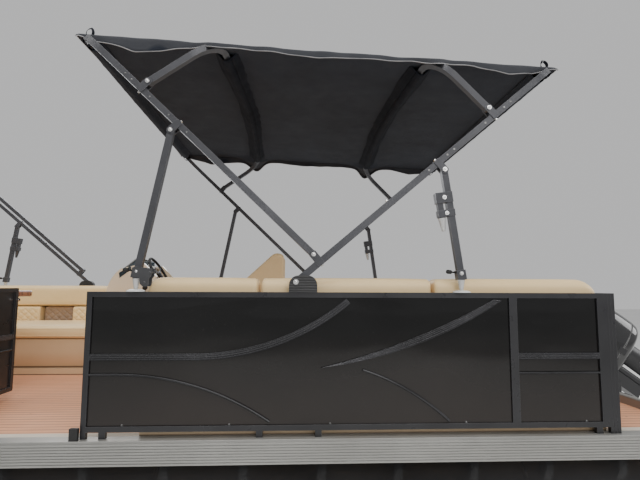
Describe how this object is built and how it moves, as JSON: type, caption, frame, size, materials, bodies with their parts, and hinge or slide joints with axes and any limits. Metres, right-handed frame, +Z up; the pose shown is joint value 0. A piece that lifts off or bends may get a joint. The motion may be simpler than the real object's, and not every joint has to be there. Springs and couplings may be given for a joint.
{
  "type": "pontoon boat",
  "caption": "Flat-decked pontoon boat with a fenced cockpit, padded lounges, helm, folding sun tops, swinging gates and a tilting outboard motor.",
  "frame": {"origin": "the middle of the whole boat's length and width, level with the undersides of the keels", "axes": "+X to the bow, +Y to port, +Z up"},
  "size_m": [8.0194, 2.59, 2.8169],
  "materials": {
    "float_paint": "gloss black over aluminium sheet",
    "channel_alloy": "mill finish",
    "rail_alloy": "clear anodised extrusion",
    "plywood": "treated ply, seen only at its edges",
    "deck_vinyl": "woven ribbed vinyl",
    "black_rubber": "satin moulded",
    "fence_paint": "satin black powder coat",
    "panel_skin": "gloss black sheet",
    "accent_metal": "black anodised, finely grooved",
    "top_tube": "dark anodised ribbed tube",
    "top_fitting": "black nylon",
    "canopy_cloth": "woven acrylic",
    "lounge_shell": "rotation moulded",
    "seat_vinyl": "marine vinyl with quilting",
    "helm_shell": "gel coat",
    "screen_glass": "tinted clear sheet",
    "wheel_black": "soft grip",
    "chrome_post": "polished",
    "table_wood": "reddish gloss laminate",
    "motor_paint": "gloss black",
    "clamp_paint": "satin black"
  },
  "bodies": {
    "hull": {"port_tube": "float_paint", "starboard_tube": "float_paint", "cross_channels": "channel_alloy", "deck_board": "plywood", "side_rails": "rail_alloy", "end_rails": "rail_alloy", "deck_mat": "deck_vinyl", "stern_trim": "black_rubber", "port_aft_frame": "fence_paint", "port_forward_frame": "fence_paint", "starboard_frame": "fence_paint", "end_frames": "fence_paint", "fence_panels": "panel_skin", "accent_bars": "accent_metal", "gate_knuckles": "fence_paint", "gate_stop": "black_rubber", "main_bow": "top_tube", "main_struts": "top_tube", "rail_mounts": "top_fitting", "canopy": "canopy_cloth", "front_main_bow": "top_tube", "front_second_bow": "top_tube", "front_struts": "top_tube", "front_boot": "canopy_cloth", "aft_lounges": "lounge_shell", "aft_seats": "seat_vinyl", "aft_backs": "seat_vinyl", "bow_lounges": "lounge_shell", "bow_seats": "seat_vinyl", "bow_backs": "seat_vinyl", "console": "helm_shell", "windscreen": "screen_glass", "chair_pedestal": "chrome_post", "table_leg": "chrome_post", "table_top": "table_wood", "transom_pod": "float_paint", "motor_bracket": "clamp_paint"},
    "port_gate_body": {"port_gate": "fence_paint", "port_gate_bars": "accent_metal"},
    "bow_gate_body": {"bow_gate": "fence_paint", "bow_gate_bars": "accent_metal"},
    "stern_gate_body": {"stern_gate": "fence_paint", "stern_gate_bars": "accent_metal"},
    "second_bow_body": {"second_bow": "top_tube"},
    "aft_short_body": {"aft_short_bow": "top_tube"},
    "forward_short_body": {"forward_short_bow": "top_tube"},
    "second_strut_body": {"second_struts": "top_tube"},
    "chair_body": {"chair_base": "chrome_post", "helm_chair": "seat_vinyl"},
    "wheel_body": {"steering_wheel": "wheel_black"},
    "swivel_body": {"motor_swivel": "clamp_paint"},
    "engine_body": {"motor_leg": "clamp_paint", "motor_cowl": "motor_paint"},
    "propeller_body": {"propeller": "clamp_paint"}
  },
  "joints": [
    {"name": "port_gate_swing", "type": "hinge", "parent": "hull", "child": "port_gate_body", "pos_m": [1.116, 1.2305, 1.13], "axis": [0, 0, -1], "range_deg": [0, 90]},
    {"name": "bow_gate_swing", "type": "hinge", "parent": "hull", "child": "bow_gate_body", "pos_m": [3.5195, 0.344, 1.13], "axis": [0, 0, -1], "range_deg": [0, 90]},
    {"name": "stern_gate_swing", "type": "hinge", "parent": "hull", "child": "stern_gate_body", "pos_m": [-2.2115, 0.314, 1.13], "axis": [0, 0, 1], "range_deg": [0, 90]},
    {"name": "canopy_fold", "type": "hinge", "parent": "hull", "child": "second_bow_body", "pos_m": [-0.759, 0, 1.63086], "axis": [0, -1, 0], "range_deg": [0, 91], "deforming": ["canopy"]},
    {"name": "aft_short_fold", "type": "hinge", "parent": "hull", "child": "aft_short_body", "pos_m": [-1.6437, 0, 2.38114], "axis": [0, -1, 0], "range_deg": [0, 95]},
    {"name": "forward_short_fold", "type": "hinge", "parent": "second_bow_body", "child": "forward_short_body", "pos_m": [0.06094, 0, 2.47658], "axis": [0, -1, 0], "range_deg": [-101.3, 0]},
    {"name": "strut_fold", "type": "hinge", "parent": "second_bow_body", "child": "second_strut_body", "pos_m": [-0.05818, 0, 2.23335], "axis": [0, -1, 0], "range_deg": [-57.5, 0]},
    {"name": "chair_turn", "type": "hinge", "parent": "hull", "child": "chair_body", "pos_m": [-0.391, -0.87996, 1.079], "axis": [0, 0, 1], "continuous": true},
    {"name": "wheel_turn", "type": "hinge", "parent": "hull", "child": "wheel_body", "pos_m": [0.57506, -0.914, 1.579], "axis": [-0.866, 0, 0.5], "range_deg": [-540, 540]},
    {"name": "motor_tilt", "type": "hinge", "parent": "hull", "child": "swivel_body", "pos_m": [-3.027, 0, 0.77], "axis": [0, -1, 0], "range_deg": [0, 55]},
    {"name": "motor_steer", "type": "hinge", "parent": "swivel_body", "child": "engine_body", "pos_m": [-3.10156, 0, 0.87649], "axis": [0.8192, 0, 0.5736], "range_deg": [-30, 30]},
    {"name": "propeller_spin", "type": "hinge", "parent": "engine_body", "child": "propeller_body", "pos_m": [-3.82736, 0, 0.58802], "axis": [0.5736, 0, -0.8192], "continuous": true}
  ],
  "couplings": [
    {"joint": "aft_short_fold", "follows": "canopy_fold", "ratio": 1.038},
    {"joint": "forward_short_fold", "follows": "canopy_fold", "ratio": -1.112},
    {"joint": "strut_fold", "follows": "canopy_fold", "ratio": -0.63},
    {"joint": "wheel_turn", "follows": "motor_steer", "ratio": 18}
  ]
}
